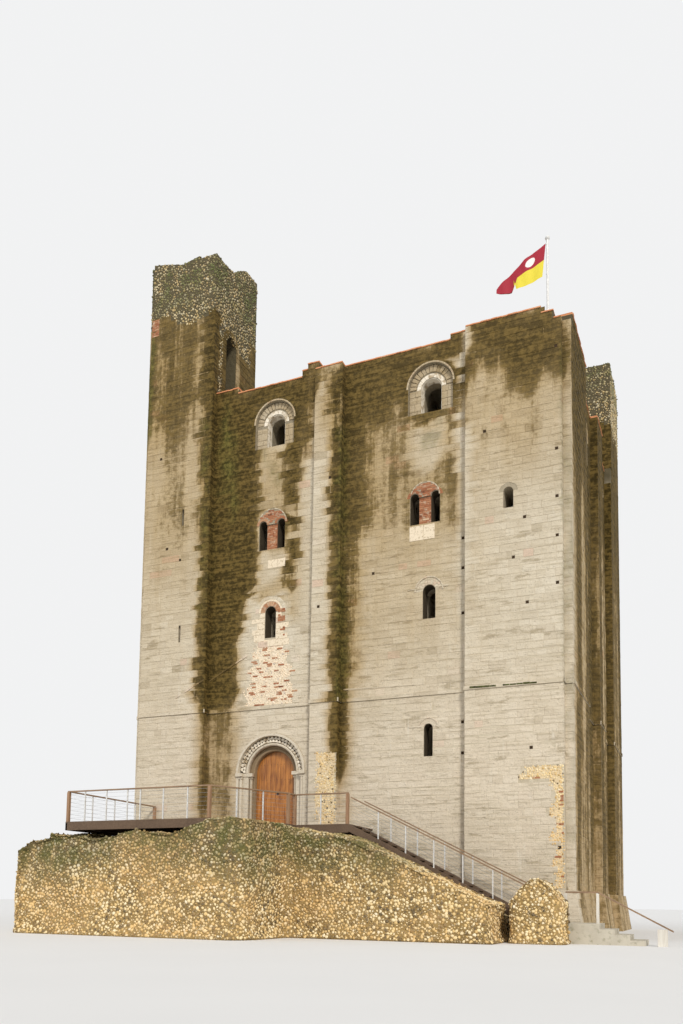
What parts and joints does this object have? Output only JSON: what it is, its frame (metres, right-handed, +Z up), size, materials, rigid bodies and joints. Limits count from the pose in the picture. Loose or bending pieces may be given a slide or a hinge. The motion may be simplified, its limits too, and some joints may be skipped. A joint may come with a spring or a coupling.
{
  "type": "castle keep",
  "caption": "Square stone castle keep with corner turrets, arched windows, a timber entrance door, and a deck and stair over a ruined forebuilding.",
  "frame": {"origin": "middle of the keep's plan at the lowest ground level", "axes": "+Z up, +X to the right along the entrance front, +Y into the building"},
  "size_m": [21.09, 23.5, 28.98],
  "materials": {
    "ashlar": "weathered tooled ashlar with algae and dark streaks",
    "portal_stone": "carved and weathered",
    "flint_rubble": "flint rubble in lime mortar",
    "red_brick": "old handmade brick",
    "floor_stone": "worn flags",
    "step_stone": "worn blocks",
    "oak_floor": "old boards",
    "door_oak": "oiled upright boards",
    "deck_timber": "weathered softwood",
    "roof_lead": "dull lead sheet",
    "iron": "forged and blackened",
    "pole_paint": "white paint",
    "rail_steel": "pale posts under a timber handrail",
    "flag_cloth": "woven polyester"
  },
  "bodies": {
    "keep": {"back_left_turret": "ashlar", "back_parapet": "ashlar", "back_right_turret": "ashlar", "back_right_turret_top": "ashlar", "back_wall_lower": "ashlar", "back_wall_middle": "ashlar", "back_wall_top": "ashlar", "deck_railing_corner": "rail_steel", "deck_railing_end": "rail_steel", "deck_railing_front": "rail_steel", "door_head": "portal_stone", "door_jamb_left": "portal_stone", "door_jamb_right": "portal_stone", "door_pintles": "iron", "entrance_deck": "deck_timber", "entrance_floor": "oak_floor", "flag": "flag_cloth", "flagpole": "pole_paint", "front_left_turret": "ashlar", "front_left_turret_top": "ashlar", "front_parapet": "ashlar", "front_right_turret": "ashlar", "front_wall_base": "ashlar", "front_wall_door_left": "ashlar", "front_wall_door_right": "ashlar", "front_wall_gallery": "ashlar", "front_wall_hall": "ashlar", "front_wall_over_door": "ashlar", "front_wall_top": "ashlar", "gallery_floor": "oak_floor", "gallery_window_piers": "red_brick", "ground_floor": "floor_stone", "hall_floor": "oak_floor", "left_parapet": "ashlar", "left_wall_lower": "ashlar", "left_wall_middle": "ashlar", "left_wall_top": "ashlar", "lower_railing": "rail_steel", "lower_steps": "step_stone", "right_parapet": "ashlar", "right_wall_lower": "ashlar", "right_wall_middle": "ashlar", "right_wall_top": "ashlar", "roof": "roof_lead", "rubble_stub": "flint_rubble", "ruin_front_wall": "flint_rubble", "ruin_left_wall": "flint_rubble", "ruin_return_wall": "flint_rubble", "stair_bank": "flint_rubble", "stair_railing_far": "rail_steel", "stair_railing_near": "rail_steel", "stair_stringers": "deck_timber", "stair_treads": "deck_timber", "top_floor": "oak_floor"},
    "door_leaf_left": {"door_leaf_left": "door_oak"},
    "door_leaf_right": {"door_leaf_right": "door_oak"}
  },
  "joints": [
    {"name": "door_left_hinge", "type": "hinge", "parent": "keep", "child": "door_leaf_left", "pos_m": [-3.52, -7.184, 5.1], "axis": [0, 0, 1], "range_deg": [0, 95]},
    {"name": "door_right_hinge", "type": "hinge", "parent": "keep", "child": "door_leaf_right", "pos_m": [-1.62, -7.184, 5.1], "axis": [0, 0, -1], "range_deg": [0, 95]}
  ]
}
